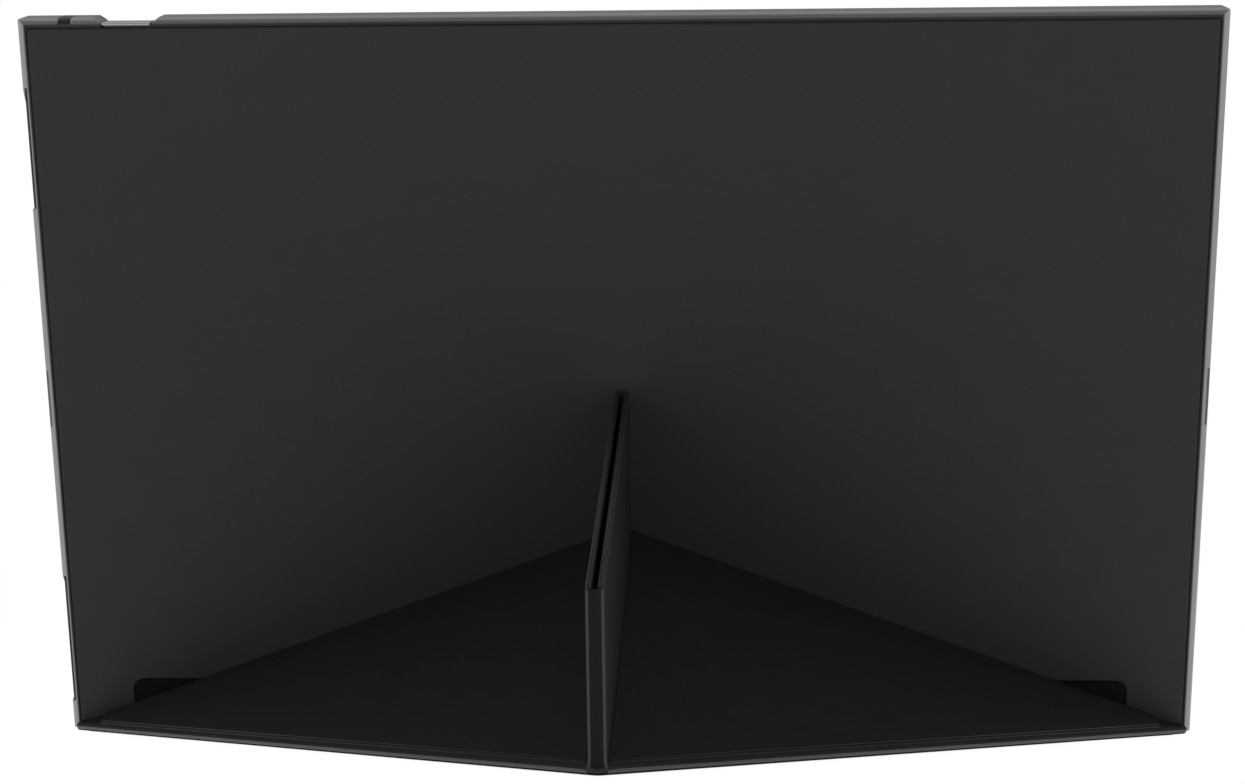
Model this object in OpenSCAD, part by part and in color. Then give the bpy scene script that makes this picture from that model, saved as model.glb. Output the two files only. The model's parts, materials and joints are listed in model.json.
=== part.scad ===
// Portable monitor with a folding cover, standing on its folded cover.
// The flap folds along two slanted creases and one centre crease into a pyramid stand:
// a base on the desk, two side panels over it, and two fins that meet behind the screen.
// +Z is up, the screen faces -Y, and the origin is on the desk under the base panel.
// The monitor is modelled lying on its back, and the cover lying flat. Both are then set up.

/* [Monitor body] */
// Width of the lit screen area
active_w = 344.2; // [310:0.1:380]
// Height of the lit screen area
active_h = 193.6; // [175:0.1:215]
// Width of the border between the lit area and each side
side_border = 13.9; // [12.6:0.1:20]
// Height of the border above the lit area
top_border = 14.4; // [12.8:0.1:18]
// Height of the border below the lit area
chin_h = 28.6; // [26:0.1:40]
// Radius of the four outer corners, seen from the front
corner_r = 1.6; // [1:0.1:6]
// Angle between the desk and the back of the monitor
tilt = 69.5; // [66:0.5:74]

/* [Metal frame] */
// Width of the frame's wall, seen from behind
rim_wall = 3; // [2.6:0.1:3.6]
// Width of the rounded bevel along the rear edge
bevel_w = 2.2; // [1:0.1:2.4]
// Depth of that bevel, front to back
bevel_d = 2.8; // [1:0.1:3.5]
// How far the frame's rear edge lies in front of the back
rim_step = 0.3; // [0.1:0.1:0.6]
// Depth of the two cut-outs in the side with the ports
cutout_depth = 1.1; // [0.6:0.1:1.4]
// Upper cut-out: distance of its lower end from the top
menu_cut_low = 60; // [56:0.5:70]
// Upper cut-out: distance of its upper end from the top
menu_cut_high = 21; // [16:0.5:24]
// Upper cut-out: length of its slanted end
menu_cut_ramp = 5; // [2:0.5:8]
// Lower cut-out: height of its lower end above the bottom
port_cut_low = 10; // [8:0.5:11]
// Lower cut-out: height of its upper end above the bottom
port_cut_high = 55; // [53:0.5:62]
// Lower cut-out: length of its slanted end
port_cut_ramp = 2.4; // [1:0.1:5]
// Length of the dark insert in each side of the frame
insert_len = 18.6; // [12:0.1:26]
// How far the middle of the inserts lies below mid-height
insert_drop = 3.5; // [0:0.1:8]
// Depth of the inserts into the frame
insert_depth = 1.2; // [0.6:0.1:1.6]
// Radius of the frame's inner corners
well_r = 1; // [0.5:0.1:2]

/* [Rear cover] */
// Wall of the moulded rear cover
shell_t = 1.4; // [1.2:0.1:1.8]
// Chamfer round the rear cover's outer edge
shell_chamfer = 0.5; // [0.2:0.1:0.9]
// Height of the skirt inside the rear cover
skirt_h = 1.6; // [1:0.1:2.2]
// Thickness of that skirt
skirt_t = 1; // [0.8:0.1:1.6]
// Distance from each side of the monitor to the recess for the cover's tab
recess_in = 21.8; // [15:0.1:40]
// Height of the recess above the bottom edge
recess_h = 18.5; // [14:0.1:24]
// Depth of the recess
recess_depth = 1; // [0.8:0.1:1.2]
// Corner radius of the recess
recess_r = 3.8; // [2:0.1:6]
// Height of the stiffening ribs inside the rear cover
rib_h = 0.8; // [0.4:0.1:1]
// Distance between the stiffening ribs
rib_pitch = 36; // [24:1:60]

/* [Screen] */
// Thickness of the front bezel
bezel_t = 1.6; // [1.2:0.1:2.2]
// Chamfer round the bezel's front edge
bezel_chamfer = 0.8; // [0.3:0.1:1]
// How far the bezel's opening lies outside the lit area
bezel_reveal = 0.6; // [0.3:0.1:1]
// Width of the dark border that the panel has outside the lit area
panel_border = 2.4; // [1.6:0.1:2.8]
// Extra border at the panel's lower edge, for its contacts and lamps
panel_foot = 3.6; // [2.5:0.1:4]
// Thickness of the liquid crystal cell
cell_t = 1.1; // [0.8:0.1:1.3]
// Thickness of the stack of diffuser films
film_t = 0.35; // [0.2:0.05:0.5]
// Thickness of the light guide plate
guide_t = 1.3; // [0.8:0.1:1.5]
// Thickness of the backlight tray's sheet metal
tray_t = 0.3; // [0.2:0.05:0.5]
// Width of the lamp strip's board
lamp_strip_w = 0.8; // [0.6:0.1:1]
// Length of one lamp on the strip
lamp_len = 3; // [2:0.5:4]
// Number of lamps on the strip
lamp_count = 28; // [12:1:40]

/* [Electronics] */
// Length of the main circuit board
board_w = 124; // [90:1:140]
// Height of the main circuit board
board_h = 40; // [38:1:44]
// Thickness of the circuit boards
board_t = 1; // [0.8:0.1:1.2]
// Height of the posts that carry the main board, over the cover's wall
post_h = 1.3; // [1.2:0.1:1.4]
// Radius of the posts
post_r = 2.2; // [1.8:0.1:3]
// Radius of the small screws
screw_r = 0.7; // [0.5:0.1:0.9]
// Radius of the screw heads
screw_head_r = 1.5; // [1.2:0.1:2]
// Height of the screw heads
screw_head_h = 0.6; // [0.4:0.1:0.8]
// Length of the screws' shanks
screw_len = 2; // [1.6:0.1:2.1]
// Height of the chips on the main board
chip_h = 0.8; // [0.5:0.1:1]
// Height of the metal can over the processor
can_h = 1.3; // [1.2:0.1:2]
// Width of that can
can_w = 16; // [14:0.5:18]
// Depth of that can
can_d = 15; // [13:0.5:16]
// Wall of that can
can_wall = 0.25; // [0.15:0.05:0.4]
// Room between the can and the backlight tray
can_room = 0.45; // [0.3:0.05:1]
// Length of the screen's driver board
driver_len = 150; // [120:1:165]
// Height of the driver board
driver_h = 9; // [7:0.5:12]
// Thickness of the driver board
driver_t = 0.7; // [0.5:0.05:0.8]
// Length of the chips on the driver board
driver_chip_len = 9; // [6:0.5:12]
// Number of chips on the driver board
driver_chip_count = 6; // [3:1:8]
// Gap between the driver board and the main board
driver_gap = 4; // [3:0.5:6]
// Width of the flat cable between those boards
flex_w = 6; // [4:0.5:6]
// Thickness of the flat cable
flex_t = 0.2; // [0.1:0.05:0.3]
// Length of the flat cable's end on each board
flex_lap = 5; // [4:0.5:8]
// Width of a reversible plug socket
usb_w = 8.94; // [8.9:0.01:9]
// Height of a reversible plug socket
usb_h = 3.16; // [3.1:0.01:3.2]
// Depth of the sockets
socket_depth = 7.4; // [6.5:0.1:7.6]
// Sheet thickness of the sockets
socket_wall = 0.3; // [0.2:0.05:0.4]
// How far the sockets reach into the main board's edge
socket_sunk = 2; // [1:0.1:3]
// Width of the tongue in a reversible plug socket
tongue_w = 6.7; // [6.5:0.05:6.9]
// Thickness of the tongues in the sockets
tongue_t = 0.7; // [0.6:0.05:0.8]
// How far the tongues start behind the mouths of the sockets
tongue_back = 1; // [0.5:0.1:1.5]
// Distance between the middles of the sockets
socket_pitch = 13.5; // [12.5:0.5:14]
// Width of the small video socket
video_w = 11.2; // [10.5:0.1:11.5]
// Height of the small video socket
video_h = 3.2; // [3:0.1:3.4]

/* [Keys] */
// Travel of each key
key_travel = 0.5; // [0.3:0.05:0.6]
// Gap round each key in its hole
key_gap = 0.3; // [0.2:0.05:0.4]
// Width of the polished power key
power_key_w = 14.8; // [12:0.1:16]
// Distance from the side of the monitor to the middle of the power key
power_key_in = 34.2; // [32:0.1:50]
// Depth of the notch above the power key
notch_depth = 2; // [1:0.1:2.2]
// Length of each slanted end of that notch
notch_ramp = 2.5; // [1:0.1:4]
// Length of a menu key
menu_key_len = 11; // [8:0.5:12]
// Thickness of a menu key
menu_key_t = 2.6; // [2:0.1:3.2]
// Distance between the middles of the menu keys
menu_key_pitch = 15; // [14:0.5:17]
// How far the keys stand out of the surface round them
key_proud = 0.5; // [0.3:0.05:0.6]
// Thickness of the collar that holds each key in
key_collar = 0.6; // [0.4:0.1:0.8]
// How far that collar reaches past the key
collar_lip = 0.8; // [0.5:0.1:1.2]
// Edge radius of the power key
key_round = 0.6; // [0.2:0.1:0.8]
// Length of the stem between a key and its switch
stem_len = 1; // [0.6:0.1:1.4]
// Thickness of those stems
stem_w = 2; // [1:0.1:2.4]
// Depth of the switches, along their travel
switch_depth = 2.4; // [1.8:0.1:2.6]
// Width of the switches
switch_w = 4; // [3:0.1:5]
// Width of the narrow board that carries the switches
strip_w = 4; // [3.4:0.1:4.4]
// How far that board reaches past the keys at its two ends
strip_tail = 4; // [2:0.5:10]
// Width of the status light on the top edge
light_w = 4; // [2:0.5:6]
// Distance from the side of the monitor to the middle of the status light
light_in = 15; // [8:0.5:18]

/* [Folding cover] */
// Thickness of the outer leather
skin_t = 0.5; // [0.4:0.05:0.7]
// Thickness of the stiffening boards
stiff_t = 0.9; // [0.6:0.05:1.2]
// Thickness of the inner lining
lining_t = 0.3; // [0.2:0.05:0.5]
// Distance from each crease or edge to the stiffening boards
crease_margin = 2.2; // [1.5:0.1:3]
// Half the slit between two panels at a crease
crease_gap = 0.3; // [0.2:0.05:0.5]
// Gap between the two fins, which stand back to back
fin_gap = 1.3; // [0.8:0.1:2]
// Radius of the flap's two free corners
flap_r = 3; // [1:0.1:6]
// How far the flap stops short of each side of the monitor
flap_in = 2.9; // [0.5:0.1:5]
// How far the closed flap stops short of the monitor's top edge
flap_short = 6.2; // [2:0.1:10]
// Thickness of the tab that is bonded to the monitor
tab_t = 0.7; // [0.5:0.05:0.8]
// Radius of the magnets in the fins
magnet_r = 2.2; // [1.6:0.1:2.6]
// Width of stiffening board left between the magnets and its edge
magnet_rim = 0.6; // [0.4:0.1:1.5]
// Distance from the side of the monitor to the outermost magnets
magnet_in = 26; // [20:1:40]
// Distance between the magnets
magnet_pitch = 60; // [40:1:66]
// Length of the bar magnets behind the bezel
bar_len = 14; // [8:0.5:20]
// Width of the bar magnets
bar_w = 4; // [3:0.1:5]
// Thickness of the bar magnets
bar_t = 1.6; // [1:0.1:2]

/* [Clearances] */
// Gap between the cover and the monitor, standing or closed
run_gap = 0.3; // [0.2:0.05:0.5]
// Gap between the closed flap and the screen
screen_gap = 0.4; // [0.2:0.05:0.8]
// Gap between pieces that are fixed to each other
fit_gap = 0.1; // [0.05:0.01:0.2]

/* [Hidden] */
$fn = 48;
eps = 0.01;
beyond = 20;

// Size over the metal frame
body_w = active_w + 2 * side_border;
body_h = active_h + chin_h + top_border;
half_w = body_w / 2;

// Levels of the monitor's layers, counted from its back towards the screen
main_z = shell_t + post_h;
main_top = main_z + board_t;
tray_back = main_top + can_h + can_room;
guide_back = tray_back + tray_t + fit_gap;
film_back = guide_back + guide_t + fit_gap;
cell_back = film_back + film_t + fit_gap;
rim_front = cell_back + cell_t + fit_gap;
body_t = rim_front + bezel_t;
port_z = (rim_step + rim_front) / 2;
key_board_z = port_z - board_t / 2;

// Inside of the frame, and the outline of the rear cover in it
well_w = body_w - 2 * rim_wall;
well_h = body_h - 2 * rim_wall;
shell_w = well_w - 2 * fit_gap;
shell_h = well_h - 2 * fit_gap;
shell_low = rim_wall + fit_gap;

// Outline of the panel, which the backlight shares
panel_w = active_w + 2 * panel_border;
panel_low = chin_h - panel_foot;
panel_h = active_h + panel_foot + panel_border;
tray_w = panel_w + 2 * (tray_t + fit_gap);
tray_low = panel_low - tray_t - fit_gap;
tray_h = panel_h + 2 * (tray_t + fit_gap);

// Recess in the back and the tab in it
recess_w = body_w - 2 * recess_in;
recess_floor_t = 1.1;

// Main board, beside the sockets at the lower cut-out, with its chips given as place and size
socket_x = half_w - cutout_depth - fit_gap;
board_x = socket_x - socket_depth + socket_sunk;
board_left = board_x - board_w;
board_low = recess_h + shell_t + fit_gap;
board_high = board_low + board_h;
socket_y = (port_cut_low + port_cut_high) / 2;
post_in = post_r + 1;
main_posts = [
    for (
        x = [board_left + post_in, socket_x - socket_depth - 2 * post_r],
        y = [board_low + post_in, board_high - post_in]
    )
        [x, y]
];
chips = [[12, 27, 7], [40, 22, 12], [64, 26, 7], [98, 24, 6], [78, 8, 5]];
processor = chips[2];
can_place = [
    board_left + processor.x + (processor.z - can_w) / 2,
    board_low + processor.y + (processor.z - can_d) / 2
];

// Driver board behind the panel's lower edge, beside the main board
driver_low = tray_low + 1;
driver_x = board_left - driver_gap;
driver_z = tray_back - fit_gap - driver_t;

// Key positions, and the narrow board behind the keys
menu_y = body_h - (menu_cut_low + menu_cut_high + menu_cut_ramp) / 2;
power_x = half_w - power_key_in;
key_wall_x = half_w - rim_wall;
key_wall_y = body_h - rim_wall;
switch_gap = key_travel + fit_gap;
key_back = key_gap + key_collar + stem_len + switch_gap;
strip_x = key_wall_x - key_back - fit_gap;
strip_y = key_wall_y - key_back - fit_gap;
strip_low = menu_y - menu_key_pitch / 2 - menu_key_len / 2 - strip_tail;
strip_in = power_x - power_key_w / 2 - strip_tail;
key_posts = [
    [strip_x - strip_w / 2, strip_low + strip_w / 2],
    [strip_in + strip_w / 2, strip_y - strip_w / 2]
];

// Cover: total thickness, and the flat pattern counted from the hinge behind the monitor
cover_t = skin_t + stiff_t + lining_t;
spine_len = body_t + screen_gap;
crease_start = cover_t / tan(tilt) + run_gap / sin(tilt);
flap_end = spine_len + run_gap + body_h - flap_short;
flap_half = half_w - flap_in;
fin_shift = fin_gap / 2 + cover_t * (1 - cos(tilt));
fin_len = flap_half - fin_shift;
apex_y = crease_start + fin_len / sin(tilt);
spine_half = flap_half - (spine_len - crease_start) * sin(tilt);
side_angle = acos(-pow(sin(tilt), 2));
fin_angle = tilt;
hinge_y = -apex_y / 2;
magnet_y = flap_end - crease_margin - fit_gap - magnet_rim - magnet_r;
bar_y = tray_low + tray_h + run_gap + bar_w / 2;
magnet_places = [for (k = [0:2]) half_w - magnet_in - k * magnet_pitch];

// Colours, as seen
shell_colour = "#333333";
metal_colour = "#808080";
leather_colour = "#262626";
lining_colour = "#1c1c1c";
board_colour = "#8a7a60";
pcb_colour = "#1f5c3a";
steel_colour = "#b8bcc0";

// Moves one corner-to-corner line inwards, as a point and a direction
function moved_line(p, q, gap) = let (d = q - p) [p + gap * [-d.y, d.x] / norm(d), d];

// Point where two such lines cross
function crossing(l, m) = let (
        p = l[0],
        r = l[1],
        q = m[0],
        s = m[1],
        k = ((q.x - p.x) * s.y - (q.y - p.y) * s.x) / (r.x * s.y - r.y * s.x)
    ) p + k * r;

// Outline with each edge moved inwards by its own gap, corners counted anticlockwise
function inset(corners, gaps) = let (n = len(corners)) [
        for (i = [0:n - 1]) let (j = (i + n - 1) % n) crossing(
            moved_line(corners[j], corners[i], gaps[j]),
            moved_line(corners[i], corners[(i + 1) % n], gaps[i])
        )
    ];

// The same list of gaps with a margin added to each
function wider(gaps, more) = [for (g = gaps) g + more];

// Half section of a slab's edge, given as [inset, height] pairs, closed over the middle
function edge_section(half, edge) = concat(
        [for (e = edge) [half - e[0], e[1]]],
        [for (i = [len(edge) - 1:-1:0]) [edge[i][0] - half, edge[i][1]]]
    );

// Rounded bevel as [inset, height] pairs
function bevel_curve(w, d, z, steps) = [
        for (i = [0:steps]) [w * (1 - sin(90 * i / steps)), z + d * (1 - cos(90 * i / steps))]
    ];

module rounded_rect(w, h, r) {
    square([w - 2 * r, h], center = true);
    square([w, h - 2 * r], center = true);
    for (x = [-1, 1], y = [-1, 1])
        translate([x * (w / 2 - r), y * (h / 2 - r)]) circle(r);
}

// Slab with rounded corners whose four edges follow the section
module edged_slab(w, h, r, edge) {
    deep = edge[len(edge) - 1][1];
    translate([0, body_h / 2, 0]) intersection() {
        linear_extrude(deep) rounded_rect(w, h, r);
        rotate([90, 0, 0]) linear_extrude(h + beyond, center = true)
            polygon(edge_section(w / 2, edge));
        rotate([90, 0, 90]) linear_extrude(w + beyond, center = true)
            polygon(edge_section(h / 2, edge));
    }
}

module plate(x0, x1, y0, y1, z0, z1) {
    translate([x0, y0, z0]) cube([x1 - x0, y1 - y0, z1 - z0]);
}

// Stands the monitor up on its hinge line
module stood_up() {
    translate([0, hinge_y, 0]) rotate([tilt, 0, 0]) translate([0, run_gap, 0]) children();
}

// Lays the flat cover on the desk behind the monitor
module laid_out() {
    translate([0, hinge_y, 0]) children();
}

// Folds the left side panel up and over the base, about the slanted crease
module side_folded() {
    corner = [-fin_shift, apex_y, cover_t];
    translate(corner)
        rotate(a = side_angle, v = [fin_len, apex_y - crease_start, 0])
            translate(-corner) children();
}

// Folds the left fin up against its twin, about the crease between side panel and fin
module fin_folded() {
    corner = [-fin_shift, apex_y, 0];
    side_folded() translate(corner) rotate(a = fin_angle, v = [-1, 0, 0]) translate(-corner) children();
}

// The whole envelope of frame and bezel, before they are parted
module body_block() {
    edge = concat(
        bevel_curve(bevel_w, bevel_d, rim_step, 6),
        [[0, body_t - bezel_chamfer], [bezel_chamfer, body_t]]
    );
    edged_slab(body_w, body_h, corner_r, edge);
}

// One cut-out in the side of the frame, with a slanted upper end
module side_cut(low, high, ramp) {
    translate([0, 0, -eps]) linear_extrude(body_t + 1) polygon([
        [half_w - cutout_depth, low],
        [half_w + beyond, low],
        [half_w + beyond, high],
        [half_w, high],
        [half_w - cutout_depth, high - ramp]
    ]);
}

module side_cuts() {
    side_cut(body_h - menu_cut_low, body_h - menu_cut_high, menu_cut_ramp);
    side_cut(port_cut_low, port_cut_high, port_cut_ramp);
}

// Notch with slanted ends over the power key
module power_notch() {
    reach = power_key_w / 2 + key_gap;
    translate([power_x, body_h, -eps]) linear_extrude(body_t + 1) polygon([
        [-reach, -notch_depth],
        [reach, -notch_depth],
        [reach + notch_ramp, 0],
        [reach + notch_ramp, beyond],
        [-reach - notch_ramp, beyond],
        [-reach - notch_ramp, 0]
    ]);
}

// Recess for the cover's tab, open at the bottom edge
module recess_shape(w, h, r) {
    translate([-w / 2, -beyond]) square([w, h + beyond - r]);
    translate([-w / 2 + r, -beyond]) square([w - 2 * r, h + beyond]);
    for (x = [-1, 1]) translate([x * (w / 2 - r), h - r]) circle(r);
}

module insert_zone(depth, gap) {
    mid = body_h / 2 - insert_drop;
    for (x = [-1, 1])
        translate([x * (half_w - depth / 2 + beyond / 2), mid, rim_front / 2])
            cube([depth + beyond, insert_len - 2 * gap, rim_front + 1], center = true);
}

module light_zone(gap) {
    plate(
        half_w - light_in - light_w / 2 + gap, half_w - light_in + light_w / 2 - gap,
        body_h - rim_wall / 2 + gap, body_h + 1,
        -eps, port_z + bevel_w
    );
}

// Socket outline: a slot with round ends, lying along Y
module slot_shape(len, high) {
    r = high / 2;
    square([len - high, high], center = true);
    for (x = [-1, 1]) translate([x * (len / 2 - r), 0]) circle(r);
}

// Turns an outline so that it is pushed into the side with the ports
module into_side(x, y, z, depth) {
    translate([x, y, z]) rotate([90, 0, -90]) linear_extrude(depth) children();
}

module video_shape(grow) {
    w = video_w / 2 + grow;
    h = video_h / 2 + grow;
    polygon([[-w, h], [w, h], [w, 0], [w - h / 2, -h], [h / 2 - w, -h], [-w, 0]]);
}

module socket_holes() {
    for (k = [0, 1])
        into_side(half_w + 1, socket_y + k * socket_pitch, port_z, rim_wall + 2)
            slot_shape(usb_w + 2 * fit_gap, usb_h + 2 * fit_gap);
    into_side(half_w + 1, socket_y - socket_pitch, port_z, rim_wall + 2) video_shape(fit_gap);
}

module menu_holes() {
    for (k = [-1, 1])
        into_side(half_w + 1, menu_y + k * menu_key_pitch / 2, port_z, rim_wall + 2)
            slot_shape(menu_key_len + 2 * key_gap, menu_key_t + 2 * key_gap);
}

module power_hole() {
    reach = power_key_w / 2 + key_gap;
    plate(power_x - reach, power_x + reach, key_wall_y - 1, body_h, -1, port_z + menu_key_t);
}

module mid_frame() {
    color(metal_colour) stood_up() difference() {
        body_block();
        translate([0, body_h / 2, -1]) linear_extrude(body_t + 2) rounded_rect(well_w, well_h, well_r);
        plate(-half_w - 1, half_w + 1, -1, body_h + 1, rim_front, body_t + 1);
        side_cuts();
        power_notch();
        power_hole();
        socket_holes();
        menu_holes();
        insert_zone(insert_depth, 0);
        light_zone(0);
        translate([0, 0, -eps]) linear_extrude(recess_depth + eps) recess_shape(recess_w, recess_h, recess_r);
    }
}

module side_inserts() {
    color("#484848") stood_up() intersection() {
        body_block();
        insert_zone(insert_depth - fit_gap, fit_gap);
        plate(-half_w, half_w, 0, body_h, 0, rim_front - fit_gap);
    }
}

module status_light() {
    color("#202020") stood_up() intersection() {
        body_block();
        light_zone(fit_gap);
        plate(0, half_w, 0, body_h, 0, port_z + bevel_w - fit_gap);
    }
}

// Moulded tray: outer wall, skirt that clips into the frame, ribs, posts and the sunk recess
module rear_cover() {
    skirt_w = shell_w - 2 * shell_chamfer;
    skirt_h_out = shell_h - 2 * shell_chamfer;
    rib_count = floor((shell_w - 4 * skirt_t) / rib_pitch);
    wall_low = shell_low + shell_chamfer + skirt_t / 2;
    color(shell_colour) stood_up() difference() {
        union() {
            edged_slab(shell_w, shell_h, well_r, [[shell_chamfer, 0], [0, shell_chamfer], [0, shell_t]]);
            translate([0, body_h / 2, shell_t - eps]) linear_extrude(skirt_h + eps) difference() {
                rounded_rect(skirt_w, skirt_h_out, well_r);
                rounded_rect(skirt_w - 2 * skirt_t, skirt_h_out - 2 * skirt_t, well_r);
            }
            for (k = [0:rib_count - 1]) let (x = (k - (rib_count - 1) / 2) * rib_pitch)
                plate(
                    x - skirt_t / 2, x + skirt_t / 2, wall_low, body_h - wall_low,
                    shell_t - eps, shell_t + rib_h
                );
            plate(
                -recess_w / 2 - shell_t, recess_w / 2 + shell_t, wall_low, recess_h + shell_t,
                shell_t - eps, recess_depth + recess_floor_t
            );
            for (p = main_posts) translate([p.x, p.y, shell_t - eps]) cylinder(r = post_r, h = post_h + eps);
            for (p = key_posts)
                translate([p.x, p.y, shell_t - eps])
                    cylinder(r = strip_w / 2, h = key_board_z - shell_t + eps);
        }
        translate([0, 0, -eps]) linear_extrude(recess_depth + eps) recess_shape(recess_w, recess_h, recess_r);
        for (p = main_posts) translate([p.x, p.y, main_z - screw_len + board_t])
            cylinder(r = screw_r, h = screw_len);
        for (p = key_posts) translate([p.x, p.y, key_board_z - screw_len + board_t])
            cylinder(r = screw_r, h = screw_len);
        // The skirt opens where the sockets and keys stand in the frame
        plate(board_x + fit_gap, half_w, port_cut_low, board_high + fit_gap, shell_t, body_t);
        plate(strip_x + fit_gap, half_w, strip_low - fit_gap, body_h, shell_t, body_t);
        plate(
            strip_in - fit_gap, half_w, strip_y + fit_gap, body_h, shell_t, body_t
        );
    }
}

module front_bezel() {
    color("#151515") stood_up() difference() {
        body_block();
        plate(-half_w - 1, half_w + 1, -1, body_h + 1, -1, rim_front + eps);
        translate([0, chin_h + active_h / 2, 0]) linear_extrude(body_t + 1)
            square([active_w + 2 * bezel_reveal, active_h + 2 * bezel_reveal], center = true);
        side_cuts();
        power_notch();
    }
}

module lcd_panel() {
    color("#0a0c10") stood_up()
        plate(-panel_w / 2, panel_w / 2, panel_low, panel_low + panel_h, cell_back, cell_back + cell_t);
}

module diffuser_films() {
    color("white") stood_up()
        plate(-panel_w / 2, panel_w / 2, chin_h - 1, panel_low + panel_h, film_back, film_back + film_t);
}

module light_guide() {
    color("#dfe8ee") stood_up()
        plate(-panel_w / 2, panel_w / 2, chin_h - 1, panel_low + panel_h, guide_back, guide_back + guide_t);
}

// Thin strip with a row of side-lit lamps along the guide's lower edge
module led_strip() {
    low = panel_low + fit_gap;
    lamp_low = low + lamp_strip_w - eps;
    pitch = (active_w - lamp_len) / (lamp_count - 1);
    color("#f2e6a0") stood_up() union() {
        plate(-active_w / 2, active_w / 2, low, low + lamp_strip_w, guide_back, guide_back + guide_t);
        for (k = [0:lamp_count - 1])
            translate([k * pitch - active_w / 2, lamp_low, guide_back])
                cube([lamp_len, chin_h - 1 - fit_gap - lamp_low, guide_t]);
    }
}

module backlight_tray() {
    color(steel_colour) stood_up() difference() {
        plate(-tray_w / 2, tray_w / 2, tray_low, tray_low + tray_h, tray_back, rim_front - fit_gap);
        plate(
            tray_t - tray_w / 2, tray_w / 2 - tray_t, tray_low + tray_t, tray_low + tray_h - tray_t,
            tray_back + tray_t, body_t
        );
    }
}

// Long narrow board behind the panel's lower edge, with a row of chips
module driver_board() {
    pitch = driver_len / driver_chip_count;
    color(pcb_colour) stood_up() union() {
        plate(
            driver_x - driver_len, driver_x, driver_low, driver_low + driver_h,
            driver_z, driver_z + driver_t
        );
        for (k = [0:driver_chip_count - 1])
            translate([driver_x - (k + 0.5) * pitch, driver_low + driver_h / 2, driver_z - chip_h / 2 + eps])
                cube([driver_chip_len, driver_h / 2, chip_h], center = true);
    }
}

// Flat cable from the end of the driver board down to the main board
module panel_flex() {
    top = driver_z - fit_gap;
    low = main_top + fit_gap;
    color("#b5651d") stood_up() translate([0, driver_low + flex_w, 0]) rotate([90, 0, 0])
        linear_extrude(flex_w) polygon([
            [driver_x - flex_lap, top],
            [driver_x - flex_lap, top - flex_t],
            [driver_x, top - flex_t],
            [board_left - flex_t, low],
            [board_left + flex_lap, low],
            [board_left + flex_lap, low + flex_t],
            [board_left, low + flex_t],
            [driver_x + flex_t, top]
        ]);
}

module main_board() {
    corner_x = recess_w / 2 + 2 * shell_t;
    color(pcb_colour) stood_up() difference() {
        union() {
            plate(board_left, board_x, board_low, board_high, main_z, main_top);
            plate(corner_x, board_x, port_cut_low, board_low + eps, main_z, main_top);
            for (c = chips)
                translate([board_left + c.x, board_low + c.y, main_top - eps]) cube([c.z, c.z, chip_h]);
        }
        for (p = main_posts)
            translate([p.x, p.y, main_z - 1]) cylinder(r = screw_r + fit_gap, h = board_t + 2);
        // The sockets are sunk into the board's edge
        for (k = [-1:1]) {
            reach = (k < 0 ? video_w : usb_w) / 2 + fit_gap;
            mid = socket_y + k * socket_pitch;
            plate(socket_x - socket_depth - fit_gap, board_x + 1, mid - reach, mid + reach, 0, body_t);
        }
    }
}

// Pressed can over the processor
module shield_can() {
    color(steel_colour) stood_up() translate(can_place) difference() {
        plate(0, can_w, 0, can_d, main_top, main_top + can_h);
        plate(
            can_wall, can_w - can_wall, can_wall, can_d - can_wall,
            main_top - 1, main_top + can_h - can_wall
        );
    }
}

// Two reversible plug sockets: a thin sleeve with a tongue inside
module usb_c_ports() {
    color(steel_colour) stood_up() for (k = [0, 1]) {
        mid = socket_y + k * socket_pitch;
        difference() {
            into_side(socket_x, mid, port_z, socket_depth) slot_shape(usb_w, usb_h);
            into_side(socket_x + socket_wall, mid, port_z, socket_depth)
                slot_shape(usb_w - 2 * socket_wall, usb_h - 2 * socket_wall);
        }
        into_side(socket_x - tongue_back, mid, port_z, socket_depth - tongue_back)
            square([tongue_w, tongue_t], center = true);
    }
}

module video_port() {
    mid = socket_y - socket_pitch;
    color(steel_colour) stood_up() {
        difference() {
            into_side(socket_x, mid, port_z, socket_depth) video_shape(0);
            into_side(socket_x + socket_wall, mid, port_z, socket_depth) video_shape(-socket_wall);
        }
        into_side(socket_x - tongue_back, mid, port_z, socket_depth - tongue_back)
            square([video_w - video_h, tongue_t], center = true);
    }
}

// Switch whose pressed face lies at x = 0
module switch_block() {
    translate([-switch_depth / 2, 0, 0]) cube([switch_depth, switch_w, stem_w + 2 * fit_gap], center = true);
}

// L-shaped board in the corner behind the keys, with one switch behind each key
module key_board() {
    top = key_board_z + board_t;
    color(pcb_colour) stood_up() difference() {
        union() {
            plate(strip_x - strip_w, strip_x, strip_low, strip_y, key_board_z, top);
            plate(strip_in, strip_x, strip_y - strip_w, strip_y, key_board_z, top);
            for (k = [-1, 1])
                translate([key_wall_x - key_back, menu_y + k * menu_key_pitch / 2, port_z]) switch_block();
            translate([power_x, key_wall_y - key_back, port_z]) rotate([0, 0, 90]) switch_block();
        }
        for (p = key_posts)
            translate([p.x, p.y, key_board_z - 1]) cylinder(r = screw_r + fit_gap, h = board_t + 2);
    }
}

module screw(top) {
    translate([0, 0, top - screw_len]) cylinder(r = screw_r - fit_gap / 2, h = screw_len + eps);
    translate([0, 0, top]) difference() {
        cylinder(r = screw_head_r, h = screw_head_h);
        translate([0, 0, screw_head_h / 2]) cylinder(r = screw_head_r / 3, h = screw_head_h, $fn = 6);
    }
}

module board_screws() {
    color(steel_colour) stood_up() {
        for (p = main_posts) translate([p.x, p.y, 0]) screw(main_z + board_t);
        for (p = key_posts) translate([p.x, p.y, 0]) screw(key_board_z + board_t);
    }
}

module closing_magnets() {
    color("#9a9a9a") stood_up() for (side = [-1, 1], x = magnet_places)
        translate([side * x, bar_y, rim_front - fit_gap - bar_t / 2])
            cube([bar_len, bar_w, bar_t], center = true);
}

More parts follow.
